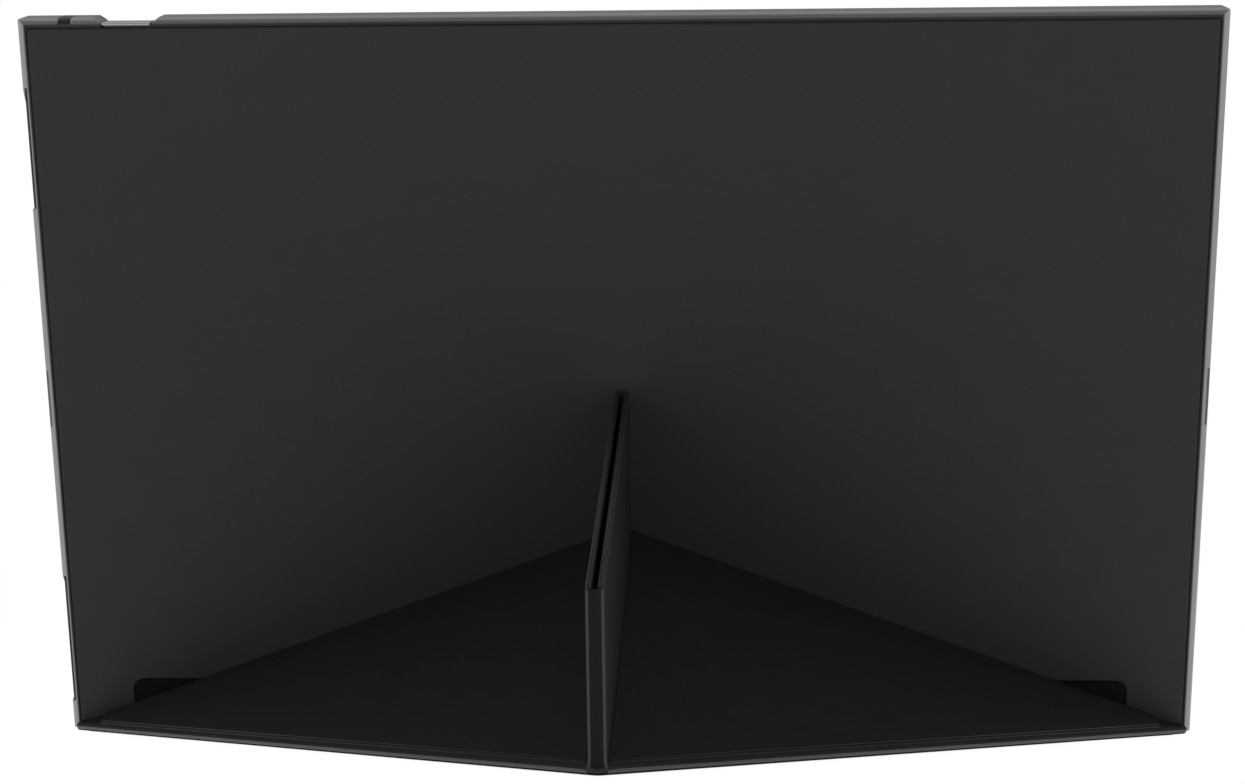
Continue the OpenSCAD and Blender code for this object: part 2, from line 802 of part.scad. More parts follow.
// Polished key: rounded cap in the notch, collar inside the frame, stem on the switch
module power_key() {
    top = body_h - notch_depth + key_proud;
    cap_low = shell_low + shell_h + key_gap + key_travel;
    front = port_z + menu_key_t - key_gap;
    back = rim_step + fit_gap;
    collar_top = key_wall_y - key_gap;
    color("#d8d8d8") stood_up() {
        translate([power_x, 0, 0]) rotate([90, 0, 90])
            linear_extrude(power_key_w, center = true) polygon(concat(
                [[cap_low, back]],
                [for (a = [-90:15:0]) [top - key_round * (1 - cos(a)), back + key_round * (1 + sin(a))]],
                [[top, front], [collar_top - eps, front]],
                [[collar_top - eps, shell_t + key_gap], [cap_low, shell_t + key_gap]]
            ));
        plate(
            power_x - power_key_w / 2 - collar_lip, power_x + power_key_w / 2 + collar_lip,
            collar_top - key_collar, collar_top, shell_t + key_gap, front
        );
        translate([power_x, collar_top - key_collar - stem_len / 2 + eps, port_z])
            cube([stem_w, stem_len, stem_w], center = true);
    }
}

module menu_key(place) {
    out = half_w - cutout_depth + key_proud;
    collar_out = key_wall_x - key_gap;
    mid = menu_y + place * menu_key_pitch / 2;
    color("#4a4a4a") stood_up() {
        into_side(out, mid, port_z, out - collar_out + eps) slot_shape(menu_key_len, menu_key_t);
        into_side(collar_out, mid, port_z, key_collar)
            slot_shape(menu_key_len + 2 * collar_lip, menu_key_t + 2 * collar_lip);
        into_side(collar_out - key_collar + eps, mid, port_z, stem_len) square(stem_w, center = true);
    }
}

module menu_up_key() {
    menu_key(1);
}

module menu_down_key() {
    menu_key(-1);
}

// Leather tab of the cover, bonded into the recess
module cover_tab() {
    gap = 4 * fit_gap;
    color(leather_colour) stood_up() translate([0, 0, recess_depth - tab_t])
        linear_extrude(tab_t) intersection() {
            recess_shape(recess_w - 2 * gap, recess_h - gap, recess_r - gap);
            translate([-half_w, gap / 2]) square([body_w, recess_h]);
        }
}

// Leather of one panel: a flat tray, its turned-in edges round the stiffening board
module panel_skin(corners, gaps) {
    color(leather_colour) difference() {
        translate([0, 0, lining_t]) linear_extrude(cover_t - lining_t) polygon(inset(corners, gaps));
        translate([0, 0, lining_t - 1]) linear_extrude(stiff_t + 1)
            polygon(inset(corners, wider(gaps, crease_margin)));
    }
}

module panel_board(corners, gaps) {
    color(board_colour) translate([0, 0, lining_t]) linear_extrude(stiff_t)
        polygon(inset(corners, wider(gaps, crease_margin + fit_gap)));
}

module panel_lining(corners, gaps) {
    color(lining_colour) linear_extrude(lining_t) polygon(inset(corners, gaps));
}

// Flat outlines of the panels, anticlockwise, with the gap at each of their edges
spine_corners = [
    [-flap_half, crease_start], [flap_half, crease_start], [spine_half, spine_len], [-spine_half, spine_len]
];
spine_gaps = [0, crease_gap, crease_gap, crease_gap];
base_corners = [
    [-spine_half, spine_len], [spine_half, spine_len], [fin_shift, apex_y], [-fin_shift, apex_y]
];
base_gaps = [crease_gap, crease_gap, 0, crease_gap];
side_corners = [
    [-fin_shift, apex_y], [-flap_half, apex_y], [-flap_half, spine_len], [-spine_half, spine_len]
];
side_gaps = [crease_gap, 0, crease_gap, crease_gap];
gusset_corners = [[-flap_half, crease_start], [-spine_half, spine_len], [-flap_half, spine_len]];
gusset_gaps = [crease_gap, crease_gap, 0];
fin_corners = [
    [-fin_shift, apex_y], [-fin_shift, flap_end], [-flap_half, flap_end], [-flap_half, apex_y]
];
fin_gaps = [0, 0, 0, crease_gap];

module spine_skin() {
    laid_out() panel_skin(spine_corners, spine_gaps);
}

module spine_board() {
    laid_out() panel_board(spine_corners, spine_gaps);
}

module spine_lining() {
    laid_out() panel_lining(spine_corners, spine_gaps);
}

module base_skin() {
    laid_out() panel_skin(base_corners, base_gaps);
}

module base_board() {
    laid_out() panel_board(base_corners, base_gaps);
}

module base_lining() {
    laid_out() panel_lining(base_corners, base_gaps);
}

// Soft corner of the flap beside the spine: leather and lining with no board
module left_gusset() {
    thin = skin_t + lining_t;
    color(leather_colour) laid_out() side_folded() translate([0, 0, cover_t - thin]) linear_extrude(thin)
        polygon(inset(gusset_corners, gusset_gaps));
}

module left_side_skin() {
    laid_out() side_folded() panel_skin(side_corners, side_gaps);
}

module left_side_board() {
    laid_out() side_folded() panel_board(side_corners, side_gaps);
}

module left_side_lining() {
    laid_out() side_folded() panel_lining(side_corners, side_gaps);
}

// Outline of a fin with the flap's rounded free corner
module fin_outline() {
    low = apex_y + crease_gap;
    polygon(concat(
        [[-fin_shift, low], [-fin_shift, flap_end]],
        [for (a = [90:15:180]) [flap_r * (1 + cos(a)) - flap_half, flap_end + flap_r * (sin(a) - 1)]],
        [[-flap_half, low]]
    ));
}

// Round magnets of the left fin, or with some extra length the holes for them
module fin_magnet_row(r, extra) {
    for (x = magnet_places)
        translate([-x, magnet_y, lining_t - extra]) cylinder(r = r, h = stiff_t + 2 * extra);
}

// The fin's leather ends in a lip that closes the folded edge between the two fins
module left_fin_skin() {
    lip = fin_gap / 2 - run_gap / 2;
    color(leather_colour) laid_out() fin_folded() difference() {
        union() {
            translate([0, 0, lining_t]) linear_extrude(cover_t - lining_t) fin_outline();
            plate(
                -fin_shift - skin_t, -fin_shift, apex_y + crease_gap, flap_end,
                cover_t - eps, cover_t + lip
            );
        }
        translate([0, 0, lining_t - 1]) linear_extrude(stiff_t + 1)
            polygon(inset(fin_corners, wider(fin_gaps, crease_margin)));
    }
}

module left_fin_board() {
    color(board_colour) laid_out() fin_folded() difference() {
        translate([0, 0, lining_t]) linear_extrude(stiff_t)
            polygon(inset(fin_corners, wider(fin_gaps, crease_margin + fit_gap)));
        fin_magnet_row(magnet_r + fit_gap, 1);
    }
}

module left_fin_lining() {
    color(lining_colour) laid_out() fin_folded() linear_extrude(lining_t) fin_outline();
}

module left_fin_magnets() {
    color("#9a9a9a") laid_out() fin_folded() fin_magnet_row(magnet_r, 0);
}

module right_gusset() {
    mirror([1, 0, 0]) left_gusset();
}

module right_side_skin() {
    mirror([1, 0, 0]) left_side_skin();
}

module right_side_board() {
    mirror([1, 0, 0]) left_side_board();
}

module right_side_lining() {
    mirror([1, 0, 0]) left_side_lining();
}

module right_fin_skin() {
    mirror([1, 0, 0]) left_fin_skin();
}

module right_fin_board() {
    mirror([1, 0, 0]) left_fin_board();
}

module right_fin_lining() {
    mirror([1, 0, 0]) left_fin_lining();
}

module right_fin_magnets() {
    mirror([1, 0, 0]) left_fin_magnets();
}

rear_cover();
mid_frame();
side_inserts();
status_light();
front_bezel();
lcd_panel();
diffuser_films();
light_guide();
led_strip();
backlight_tray();
driver_board();
panel_flex();
main_board();
shield_can();
usb_c_ports();
video_port();
key_board();
board_screws();
closing_magnets();
power_key();
menu_up_key();
menu_down_key();
cover_tab();
spine_skin();
spine_board();
spine_lining();
base_skin();
base_board();
base_lining();
left_gusset();
right_gusset();
left_side_skin();
left_side_board();
left_side_lining();
right_side_skin();
right_side_board();
right_side_lining();
left_fin_skin();
left_fin_board();
left_fin_lining();
left_fin_magnets();
right_fin_skin();
right_fin_board();
right_fin_lining();
right_fin_magnets();
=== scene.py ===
# Portable monitor leaning back on its own folded cover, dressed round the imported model.
import json
import math

import bmesh
import bpy
from mathutils import Matrix, Vector


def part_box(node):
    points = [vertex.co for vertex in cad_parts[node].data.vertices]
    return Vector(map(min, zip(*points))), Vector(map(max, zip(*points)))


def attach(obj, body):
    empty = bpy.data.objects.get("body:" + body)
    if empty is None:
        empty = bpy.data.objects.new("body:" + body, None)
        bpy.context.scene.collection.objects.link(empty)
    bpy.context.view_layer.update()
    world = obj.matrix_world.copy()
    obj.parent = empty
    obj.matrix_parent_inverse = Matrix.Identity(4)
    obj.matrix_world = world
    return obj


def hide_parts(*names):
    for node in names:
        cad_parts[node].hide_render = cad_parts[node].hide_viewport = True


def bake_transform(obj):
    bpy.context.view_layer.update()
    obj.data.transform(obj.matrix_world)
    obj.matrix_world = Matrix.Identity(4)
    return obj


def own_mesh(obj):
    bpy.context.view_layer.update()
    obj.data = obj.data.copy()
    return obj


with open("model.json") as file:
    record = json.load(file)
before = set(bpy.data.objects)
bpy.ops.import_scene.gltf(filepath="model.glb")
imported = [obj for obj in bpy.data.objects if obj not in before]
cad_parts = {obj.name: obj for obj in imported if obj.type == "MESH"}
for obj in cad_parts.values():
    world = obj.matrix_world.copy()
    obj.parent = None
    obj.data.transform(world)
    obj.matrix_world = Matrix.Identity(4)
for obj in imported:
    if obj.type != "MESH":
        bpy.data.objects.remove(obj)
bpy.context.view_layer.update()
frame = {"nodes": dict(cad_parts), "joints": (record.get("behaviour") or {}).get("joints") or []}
mm = 0.001

# The view: seen from behind and just above the desk, with the lens a little below the middle
# of the screen, so that the monitor's sides converge downwards.
lens_mm = 65.28
eye = Vector((-28.043, 660.062, 41.539)) * mm
aim = Vector((-2.26, 0, 104.454)) * mm
roll = math.radians(0.076)
ahead = (aim - eye).normalized()
level = ahead.cross(Vector((0, 0, 1))).normalized()
upward = level.cross(ahead)
rightward = level * math.cos(roll) + upward * math.sin(roll)
upward = upward * math.cos(roll) - level * math.sin(roll)
turned = Matrix((rightward, upward, -ahead)).transposed()
lens = bpy.data.cameras.new("camera")
lens.lens = lens_mm
lens.sensor_width = 36
lens.clip_start = 0.01
camera = bpy.data.objects.new("camera", lens)
camera.matrix_world = Matrix.Translation(eye) @ turned.to_4x4()
bpy.context.collection.objects.link(camera)
bpy.context.scene.camera = camera

# Rear cover: one large moulding of ABS with ribs inside, sprayed with matt soft-touch paint.
# The paint hides the mould's grain. What shows is a very fine stipple and hardly any gloss.
nodes = frame["nodes"]


def linear(hex_colour):
    """Linear colour, with alpha, of an sRGB hex value."""
    parts = [int(hex_colour[i:i + 2], 16) / 255 for i in (1, 3, 5)]
    return [p / 12.92 if p <= 0.04045 else ((p + 0.055) / 1.055) ** 2.4 for p in parts] + [1]


def add(tree, kind, inputs, **settings):
    """Adds a shader node. Each input is linked if it is given a socket, and otherwise set.

    An input goes by its name, or by its number where the node has several of that name."""
    made = tree.nodes.new("ShaderNode" + kind)
    for key, value in settings.items():
        setattr(made, key, value)
    for socket, value in inputs.items():
        if isinstance(value, bpy.types.NodeSocket):
            tree.links.new(value, made.inputs[socket])
        else:
            made.inputs[socket].default_value = value
    return made


def finish(name, dark, light, mottle_mm, rough, grain_mm, depth_mm, **shader):
    """A material whose colour drifts between two tones, with a fine grain in its surface.

    The drift and the grain have their size in mm, and so has the grain's depth. The roughness
    runs between two values with the drift. Returns the material, its node tree, its shader
    and the place on the piece."""
    material = bpy.data.materials.new(name)
    material.use_nodes = True
    tree = material.node_tree
    tree.nodes.clear()
    place = add(tree, "TexCoord", {}).outputs["Object"]
    drift = {"Vector": place, "Scale": 1000 / mottle_mm, "Detail": 3}
    mottle = add(tree, "TexNoise", drift).outputs[0]
    tones = {0: mottle, 6: linear(dark), 7: linear(light)}
    tone = add(tree, "Mix", tones, data_type="RGBA").outputs[2]
    spread = add(tree, "MapRange", {0: mottle, 1: 0.3, 2: 0.7, 3: rough[0], 4: rough[1]})
    stipple = {"Vector": place, "Scale": 1000 / grain_mm, "Detail": 2}
    grain = add(tree, "TexNoise", stipple).outputs[0]
    bump = add(tree, "Bump", {"Height": grain, "Distance": depth_mm * mm, "Strength": 1})
    body = add(tree, "BsdfPrincipled", {
        "Base Color": tone, "Roughness": spread.outputs[0], "Normal": bump.outputs[0], **shader,
    })
    add(tree, "OutputMaterial", {"Surface": body.outputs[0]})
    return material, tree, body, place


def round_off(tree, body, radius_mm):
    """Takes the sharpness off a CAD piece's edges, so that they catch the light."""
    soft_edge = add(tree, "Bevel", {"Radius": radius_mm * mm}, samples=6).outputs[0]
    tree.links.new(soft_edge, body.inputs["Normal"].links[0].from_node.inputs["Normal"])


def dress(material, *names):
    """Gives CAD pieces that keep their shape a finish."""
    for name in names:
        slots = nodes[name].data.materials
        slots.clear()
        slots.append(material)


soft_touch, tree, body, place = finish(
    "soft_touch_paint_on_abs", "#2b2b2b", "#2f2f2f", mottle_mm=9, rough=(0.55, 0.66),
    grain_mm=0.35, depth_mm=0.004, **{"IOR": 1.5, "Specular IOR Level": 0.2},
)
round_off(tree, body, 0.9)
dress(soft_touch, "rear_cover")

# Frame: milled from aluminium bar, bead-blasted and anodised dark grey. The blasting leaves a
# stipple, drawn 0.3 mm wide so that it shows, that breaks each reflection up into a soft sheen.
anodised, tree, body, place = finish(
    "bead_blasted_anodised_aluminium", "#868686", "#8e8e8e", mottle_mm=14, rough=(0.26, 0.34),
    grain_mm=0.3, depth_mm=0.003, Metallic=1,
)
round_off(tree, body, 1)
# Its rear lip is sprayed together with the cover, and the paint thins out over the bevel, from
# bare metal to full paint over these distances in mm from the sides and from the two ends
side_fade = (1.95, 2.65)
end_fade = (1, 2.35)
tilt = math.radians(69.5)
climb = Vector((0, math.cos(tilt), math.sin(tilt)))
heights = [v.co.dot(climb) for v in nodes["mid_frame"].data.vertices]
half_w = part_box("mid_frame")[1].x
across_raw = add(tree, "SeparateXYZ", {"Vector": place}).outputs[0]
across = add(tree, "Math", {0: across_raw}, operation="ABSOLUTE").outputs[0]
up_back = add(
    tree, "VectorMath", {0: place, 1: climb}, operation="DOT_PRODUCT"
).outputs["Value"]
from_side = add(tree, "Math", {0: half_w, 1: across}, operation="SUBTRACT").outputs[0]
from_top = add(tree, "Math", {0: max(heights), 1: up_back}, operation="SUBTRACT").outputs[0]
from_foot = add(tree, "Math", {0: up_back, 1: min(heights)}, operation="SUBTRACT").outputs[0]
from_end = add(tree, "Math", {0: from_top, 1: from_foot}, operation="MINIMUM").outputs[0]
side_lip, end_lip = [
    add(
        tree, "MapRange", {0: distance, 1: fade[0] * mm, 2: fade[1] * mm},
        interpolation_type="SMOOTHSTEP",
    ).outputs[0]
    for distance, fade in ((from_side, side_fade), (from_end, end_fade))
]
painted = add(tree, "Math", {0: side_lip, 1: end_lip}, operation="MINIMUM").outputs[0]
# Painted shade darkens the two cut-outs on the keys' side, 1 mm to 1.9 mm in, and a dark patch runs
# over the bevel at the status light. Each patch has a middle and a reach in mm along two distances.
keys_side = add(tree, "Math", {0: across_raw, 1: 0}, operation="GREATER_THAN").outputs[0]
light_x = half_w / mm - 15
shaded_cutouts_and_dark_patch = (
    (from_side, 1.45, 0.45, from_top, 40.5, 19),
    (from_side, 1.45, 0.45, from_foot, 32.5, 22),
    (across_raw, light_x, 2, from_top, 0, 2),
)
for inwards, middle, reach, lengthwise, centre, spread in shaded_cutouts_and_dark_patch:
    near = add(
        tree, "Math", {0: inwards, 1: middle * mm, 2: reach * mm}, operation="COMPARE"
    ).outputs[0]
    within = add(
        tree, "Math", {0: lengthwise, 1: centre * mm, 2: spread * mm}, operation="COMPARE"
    ).outputs[0]
    both = add(tree, "Math", {0: near, 1: within}, operation="MULTIPLY").outputs[0]
    both = add(tree, "Math", {0: both, 1: keys_side}, operation="MULTIPLY").outputs[0]
    painted = add(tree, "Math", {0: painted, 1: both}, operation="MAXIMUM").outputs[0]
# The dark coat colour is both the paint on the lip and the painted shade in the cut-outs
bare = body.inputs["Base Color"].links[0].from_socket
coat = {0: painted, 6: bare, 7: linear("#2c2c2c")}
coated = add(tree, "Mix", coat, data_type="RGBA").outputs[2]
metal_left = add(tree, "MapRange", {0: painted, 3: 1, 4: 0}).outputs[0]
dullness = add(tree, "MapRange", {0: painted, 3: 0.3, 4: 0.6}).outputs[0]
tree.links.new(coated, body.inputs["Base Color"])
tree.links.new(metal_left, body.inputs["Metallic"])
tree.links.new(dullness, body.inputs["Roughness"])
body.inputs["Specular IOR Level"].default_value = 0.2
dress(anodised, "mid_frame")

# Inserts in the frame's sides: moulded ABS windows that let the aerials' signal through. They
# sit flush with the metal, and their dark plastic has a light satin grain.
insert_plastic, *_ = finish(
    "moulded_abs_inserts", "#3a3a3a", "#444444", mottle_mm=5, rough=(0.45, 0.6),
    grain_mm=0.4, depth_mm=0.008, IOR=1.53,
)
dress(insert_plastic, "side_inserts")

# Status light: a short strip of smoked polycarbonate, polished, pressed into the top edge. The
# lamp behind it is off, so it looks like a small dark slot.
smoked, *_ = finish(
    "smoked_polycarbonate", "#1a1a1b", "#222224", mottle_mm=3, rough=(0.3, 0.4),
    grain_mm=0.8, depth_mm=0.002, **{"IOR": 1.585, "Specular IOR Level": 0.2},
)
dress(smoked, "status_light")

# Power key: a bar of polished aluminium in the top notch. Its colour carries a painted highlight
# along the upper edge, and painted shade darkens the metal over the millimetre below that.
polished, tree, body, place = finish(
    "polished_aluminium", "#b4b4b2", "#c0c0be", mottle_mm=6, rough=(0.14, 0.2),
    grain_mm=0.5, depth_mm=0.001, Metallic=1,
)
round_off(tree, body, 0.5)
shade_below, highlight_above = 1.3, 0.3
rise = add(tree, "VectorMath", {0: place, 1: climb}, operation="DOT_PRODUCT").outputs["Value"]
top = max(v.co.dot(climb) for v in nodes["power_key"].data.vertices)
painted_light_ramp = add(
    tree, "MapRange", {0: rise, 1: top - shade_below * mm, 2: top - highlight_above * mm},
    interpolation_type="SMOOTHSTEP",
).outputs[0]
# Painted highlight at the top edge and painted shade below it, both in the metal's colour
painted_light_tones = {0: painted_light_ramp, 6: linear("#3a3a39"), 7: linear("#c4c4c2")}
tree.links.new(
    add(tree, "Mix", painted_light_tones, data_type="RGBA").outputs[2], body.inputs["Base Color"]
)
dress(polished, "power_key")

# Menu keys: two short bars of dark anodised aluminium in the upper cut-out. Their faces are
# finely blasted and take only a soft highlight.
key_metal, *_ = finish(
    "dark_anodised_keys", "#454547", "#4e4e50", mottle_mm=4, rough=(0.3, 0.4),
    grain_mm=0.25, depth_mm=0.004, Metallic=1,
)
dress(key_metal, "menu_up_key", "menu_down_key")

# Bezel: a moulded frame of black ABS that closes the front round the glass. It takes the fine
# spark-eroded texture of its mould, which leaves it matt.
bezel_plastic, *_ = finish(
    "spark_eroded_black_abs", "#141414", "#191919", mottle_mm=7, rough=(0.42, 0.55),
    grain_mm=0.3, depth_mm=0.012, IOR=1.53,
)
dress(bezel_plastic, "front_bezel")

# Screen: a glass cell under an anti-glare polariser. The film's haze spreads each reflection,
# so the dark glass looks soft and not like a mirror.
screen, *_ = finish(
    "anti_glare_polariser", "#07080b", "#0a0c10", mottle_mm=60, rough=(0.2, 0.26),
    grain_mm=0.12, depth_mm=0.0015, IOR=1.5,
)
dress(screen, "lcd_panel")

# Films behind the cell: a stack of polyester sheets, rolled with fine prisms. They look matt
# and white, with a pearly surface.
films, *_ = finish(
    "prismatic_polyester_film", "#e6e8ea", "#f4f5f6", mottle_mm=30, rough=(0.3, 0.4),
    grain_mm=0.2, depth_mm=0.004, IOR=1.64,
)
dress(films, "diffuser_films")

# Light guide: a clear cast acrylic plate, with rough dots etched by laser every 1.6 mm that
# let its light out. Between them it stays glossy.
acrylic, tree, body, place = finish(
    "etched_clear_acrylic", "#dfe9ee", "#eef4f6", mottle_mm=20, rough=(0.05, 0.12),
    grain_mm=0.6, depth_mm=0.002, IOR=1.49,
)
body.inputs["Transmission Weight"].default_value = 0.6
dot_pitch_mm = 1.6
dots = add(tree, "TexVoronoi", {"Vector": place, "Scale": 1000 / dot_pitch_mm, "Randomness": 0})
etched = add(
    tree, "MapRange", {0: dots.outputs["Distance"], 1: 0.2, 2: 0.28, 3: 0.7, 4: 0.08}
).outputs[0]
tree.links.new(etched, body.inputs["Roughness"])
dress(acrylic, "light_guide")

# Lamp strip: a narrow board under white solder mask, with a row of small lamps soldered on.
# Their yellow phosphor, which faces the guide, gives it a warm cream tone.
lamp_resin, *_ = finish(
    "phosphor_lamps_on_white_board", "#efe6b4", "#f6f0cf", mottle_mm=2, rough=(0.3, 0.5),
    grain_mm=0.3, depth_mm=0.01, IOR=1.52,
)
dress(lamp_resin, "led_strip")

# Backlight tray: zinc-coated steel sheet, pressed and folded round the films and the guide.
# The zinc has a faint spangle of crystals about 6 mm wide.
zinc_sheet, tree, body, place = finish(
    "zinc_coated_steel_sheet", "#a9adb0", "#bcc0c3", mottle_mm=8, rough=(0.3, 0.45),
    grain_mm=0.5, depth_mm=0.003, Metallic=1,
)
crystal_mm = 6
spangle = add(tree, "TexVoronoi", {"Vector": place, "Scale": 1000 / crystal_mm})
sheen = add(
    tree, "MapRange", {0: spangle.outputs["Distance"], 1: 0, 2: 0.6, 3: 0.28, 4: 0.46}
).outputs[0]
tree.links.new(sheen, body.inputs["Roughness"])
dress(zinc_sheet, "backlight_tray")

# Circuit boards: woven glass laminate under green solder mask. The copper tracks below it, at
# a pitch of 0.9 mm, show as paler lines.
solder_mask, tree, body, place = finish(
    "green_solder_mask_on_laminate", "#174a2e", "#1f5c3a", mottle_mm=10, rough=(0.25, 0.35),
    grain_mm=0.3, depth_mm=0.004, IOR=1.55,
)
# The brick pattern has a cell of 3 mm, so each track is 6.6 mm long
cell_mm = 3
tracks = add(tree, "TexBrick", {
    "Vector": place, "Scale": 1000 / cell_mm, "Color1": linear("#2b7a4e"),
    "Color2": linear("#1c5535"), "Mortar": linear("#174a2e"), "Mortar Size": 0.06,
    "Brick Width": 2.2, "Row Height": 0.3,
}).outputs[0]
mask_over = {0: 0.6, 6: body.inputs["Base Color"].links[0].from_socket, 7: tracks}
masked = add(tree, "Mix", mask_over, data_type="RGBA").outputs[2]
tree.links.new(masked, body.inputs["Base Color"])
dress(solder_mask, "driver_board", "main_board", "key_board")

# Flat cable: amber polyimide film bonded over copper tracks. The real tracks lie 0.5 mm apart.
# They are drawn 3.1 mm apart, as coarse as they need to be to show.
polyimide, tree, body, place = finish(
    "amber_polyimide_film", "#a35a18", "#bd7026", mottle_mm=4, rough=(0.2, 0.3),
    grain_mm=0.4, depth_mm=0.003, IOR=1.7,
)
waves_per_metre = 100
stripe = add(
    tree, "TexWave", {"Vector": place, "Scale": waves_per_metre}, bands_direction="Y"
).outputs[0]
copper_lines = {0: stripe, 6: linear("#a35a18"), 7: linear("#c9823c")}
lined = add(tree, "Mix", copper_lines, data_type="RGBA").outputs[2]
tree.links.new(lined, body.inputs["Base Color"])
dress(polyimide, "panel_flex")

# Can over the processor: nickel silver sheet, rolled, pressed to shape and soldered down. The
# rolling leaves it with a soft satin face.
nickel_silver, *_ = finish(
    "rolled_nickel_silver", "#b0b1ab", "#c2c3be", mottle_mm=5, rough=(0.25, 0.36),
    grain_mm=0.3, depth_mm=0.003, Metallic=1,
)
dress(nickel_silver, "shield_can")

# Sockets and screws: the sockets' sleeves are deep-drawn from stainless steel, the screws are
# headed and rolled. All are plated with nickel, which is bright and slightly clouded.
nickel_plate, *_ = finish(
    "nickel_plated_steel", "#adb1b5", "#c0c3c6", mottle_mm=4, rough=(0.18, 0.3),
    grain_mm=0.4, depth_mm=0.002, Metallic=1,
)
dress(nickel_plate, "usb_c_ports", "video_port", "board_screws")

# Magnets: sintered blocks and discs, barrel-plated with nickel. The tumbling leaves their
# plating a little dull.
magnet_plate, *_ = finish(
    "barrel_plated_magnets", "#94979a", "#a8abad", mottle_mm=3, rough=(0.25, 0.42),
    grain_mm=0.3, depth_mm=0.004, Metallic=1,
)
dress(magnet_plate, "closing_magnets", "left_fin_magnets", "right_fin_magnets")

# Stiffening boards: die-cut from compressed grey fibreboard, one in each panel and one in the
# spine. They are seen only where the cover is cut open.
fibreboard, *_ = finish(
    "compressed_grey_fibreboard", "#7d7058", "#92846a", mottle_mm=6, rough=(0.8, 0.95),
    grain_mm=0.4, depth_mm=0.03, IOR=1.45,
)
dress(
    fibreboard, "spine_board", "base_board", "left_side_board", "right_side_board",
    "left_fin_board", "right_fin_board",
)

# Cover, outer leather: polyurethane leather, embossed with a fine pebble grain of about
# 0.7 mm and turned in round each board. Its skin has a low sheen along edges and folds.
leather, tree, body, place = finish(
    "pebbled_polyurethane_leather", "#191919", "#1e1e1e", mottle_mm=25, rough=(0.46, 0.58),
    grain_mm=0.25, depth_mm=0.004, **{"IOR": 1.5, "Specular IOR Level": 0.25},
)
pebble_mm = 0.7
pebble = add(
    tree, "TexVoronoi", {"Vector": place, "Scale": 1000 / pebble_mm}, feature="SMOOTH_F1"
).outputs[0]
embossed = add(tree, "Bump", {
    "Height": pebble, "Distance": 0.02 * mm, "Strength": 0.6,
    "Normal": body.inputs["Normal"].links[0].from_socket,
}).outputs[0]
tree.links.new(embossed, body.inputs["Normal"])

# Tab: the cover's end, in plain split leather, glued flat into the recess of the rear cover. It has
# no embossed grain, and its colour is painted nearly black as painted shade for the deep recess.
tab_leather, *_ = finish(
    "glued_tab_painted_shade", "#0a0a0a", "#0e0e0e", mottle_mm=20, rough=(0.6, 0.75),
    grain_mm=0.3, depth_mm=0.006, **{"IOR": 1.5, "Specular IOR Level": 0.1},
)
dress(tab_leather, "cover_tab")

# Cover, inner lining: a thin brushed microfibre cloth bonded over the turned-in leather. It
# is duller than the leather, with a nap that drifts a little in tone.
lining, *_ = finish(
    "brushed_microfibre_lining", "#191919", "#1d1d1d", mottle_mm=12, rough=(0.7, 0.85),
    grain_mm=0.2, depth_mm=0.006, **{"IOR": 1.45, "Specular IOR Level": 0.12},
)
dress(lining, "left_gusset", "right_gusset")
# Its cut edge is coloured paler in a line 0.3 mm high, a painted highlight where the rounded edge
# catches the light
edge_highlight, *_ = finish(
    "cloth_edge_painted_highlight", "#343434", "#3c3c3c", mottle_mm=5, rough=(0.45, 0.55),
    grain_mm=0.3, depth_mm=0.003, **{"IOR": 1.5, "Specular IOR Level": 0.25},
)

# Panels of the cover: each board lies in a tray of leather with rounded, turned-in edges,
# and the lining is bonded over it a little inside those edges.
joints = {joint["name"]: joint for joint in frame["joints"]}
fold = {"left": joints["stand_fold"], "right": joints["right_fold"]}
cover_t = 1.7
folded_by = math.radians(151.325)
down = Vector((0, 0, -1))
forward = Vector((0, -math.sin(tilt), math.cos(tilt)))
side_out = {
    side: Matrix.Rotation(folded_by, 3, Vector(fold[side]["axis"])) @ down for side in fold
}
lining_out = {
    "spine": down, "base": down, "left_side": side_out["left"], "right_side": side_out["right"],
    "left_fin": Vector((-1, 0, 0)), "right_fin": Vector((1, 0, 0)),
}
# Insets and heights in mm. The tray starts at the floor of its hollow, 2.2 in from the edge.
tray_steps = [
    (2.2, -0.5), (2.2, -1.4), (0.45, -1.4), (0.15, -1.32), (0, -1.1), (0, -0.4),
    (0.12, -0.12), (0.4, 0), (0.9, 0),
]
fin_tray_steps = tray_steps[:5] + [(0, -0.75), (0.12, -0.5), (0.75, 0), (1.2, 0)]
lining_steps = [(1.3, -0.3), (1.2, -0.22), (1.2, -0.12), (1.3, -0.03), (1.5, 0), (2.2, 0)]
# Rings at the lining's edge that carry the painted highlight
highlight_rings = 3
# Along a crease that folds towards the lining, its edge keeps only a quarter of those insets
valley_share = 0.25
valleys = [(Vector(joints[side + "_fin_fold"]["pos_m"]), forward) for side in fold]
valleys.append((Vector(joints["flap_hinge"]["pos_m"]), Vector((1, 0, 0))))


def outer_face(node, outward):
    """Corners of a flat CAD piece's outer face, anticlockwise when seen from outside."""
    same_height, same_place = 0.002 * mm, 0.02 * mm
    points = [v.co.copy() for v in nodes[node].data.vertices]
    top = max(p.dot(outward) for p in points)
    on_top = [p for p in points if p.dot(outward) > top - same_height]
    face = list({tuple(round(c, 6) for c in p): p for p in on_top}.values())
    middle = sum(face, Vector()) / len(face)
    across = (face[0] - middle).normalized()
    beside = outward.cross(across)
    face.sort(key=lambda p: math.atan2((p - middle).dot(beside), (p - middle).dot(across)))
    return [p for i, p in enumerate(face) if (p - face[i - 1]).length > same_place]


def moved_in(loop, outward, gaps):
    """The same outline with each edge moved inwards by its own gap."""
    result = []
    for i, p in enumerate(loop):
        before = outward.cross(p - loop[i - 1]).normalized()
        after = outward.cross(loop[(i + 1) % len(loop)] - p).normalized()
        turn = before.dot(after)
        spare = 1 - turn * turn
        a = (gaps[i - 1] - turn * gaps[i]) / spare
        b = (gaps[i] - turn * gaps[i - 1]) / spare
        result.append(p + before * a + after * b)
    return result


